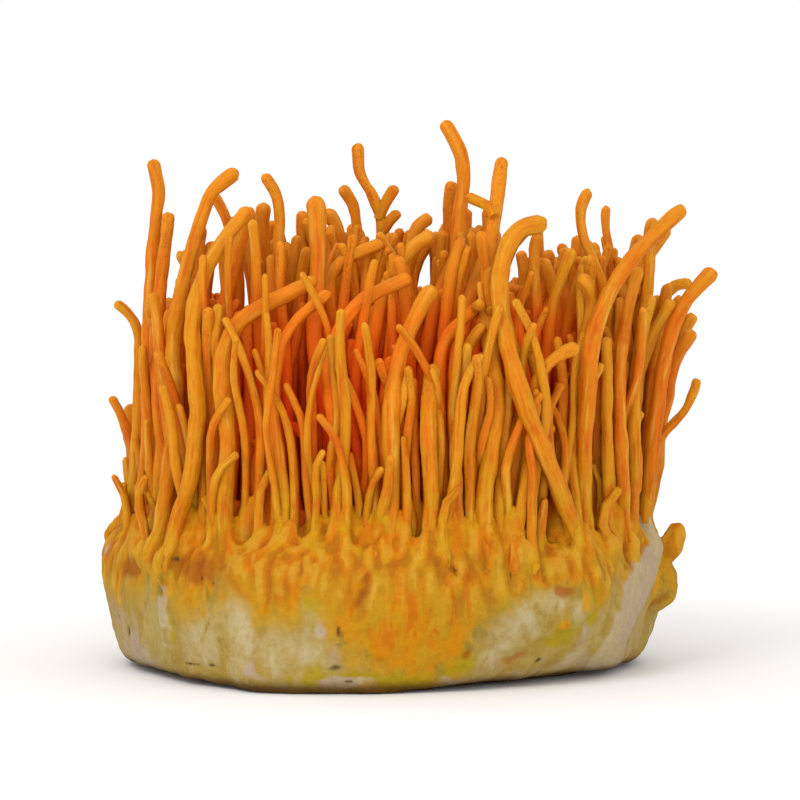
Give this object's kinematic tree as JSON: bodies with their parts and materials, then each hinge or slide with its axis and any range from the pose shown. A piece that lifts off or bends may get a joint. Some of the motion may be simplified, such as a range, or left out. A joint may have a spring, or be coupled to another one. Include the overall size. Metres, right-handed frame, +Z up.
{
  "type": "cordyceps mushroom",
  "caption": "Cultivated cordyceps: a round cake of grain and mycelium with a dense stand of slender, club-like orange stems growing from its upper face.",
  "frame": {"origin": "middle of the flat bottom of the cake, which the part rests on", "axes": "+X to the right and +Y to the back of the stand as pictured, +Z up along the stems"},
  "size_m": [0.107, 0.1005, 0.0954],
  "materials": {
    "cake": "matte, grown-over grain",
    "stem": "matte, finely grained"
  },
  "bodies": {
    "root": {"substrate_block": "cake", "stem_01": "stem", "stem_02": "stem", "stem_03": "stem", "stem_04": "stem", "stem_05": "stem", "stem_06": "stem", "stem_07": "stem", "stem_08": "stem", "stem_09": "stem", "stem_10": "stem", "stem_11": "stem", "stem_12": "stem", "stem_13": "stem", "stem_14": "stem", "stem_15": "stem", "stem_16": "stem", "stem_17": "stem", "stem_18": "stem", "stem_19": "stem", "stem_20": "stem", "stem_21": "stem", "stem_22": "stem", "stem_23": "stem", "stem_24": "stem", "stem_25": "stem", "stem_26": "stem", "stem_27": "stem", "stem_28": "stem", "stem_29": "stem", "stem_30": "stem", "stem_31": "stem", "stem_32": "stem", "stem_33": "stem", "stem_34": "stem", "stem_35": "stem", "stem_36": "stem", "stem_37": "stem", "stem_38": "stem", "stem_39": "stem", "stem_40": "stem", "stem_41": "stem", "stem_42": "stem", "stem_43": "stem", "stem_44": "stem", "stem_45": "stem", "stem_46": "stem", "stem_47": "stem", "stem_48": "stem", "stem_49": "stem", "stem_50": "stem", "stem_51": "stem", "stem_52": "stem", "stem_53": "stem", "stem_54": "stem", "stem_55": "stem", "stem_56": "stem", "stem_57": "stem", "stem_58": "stem"}
  },
  "joints": []
}
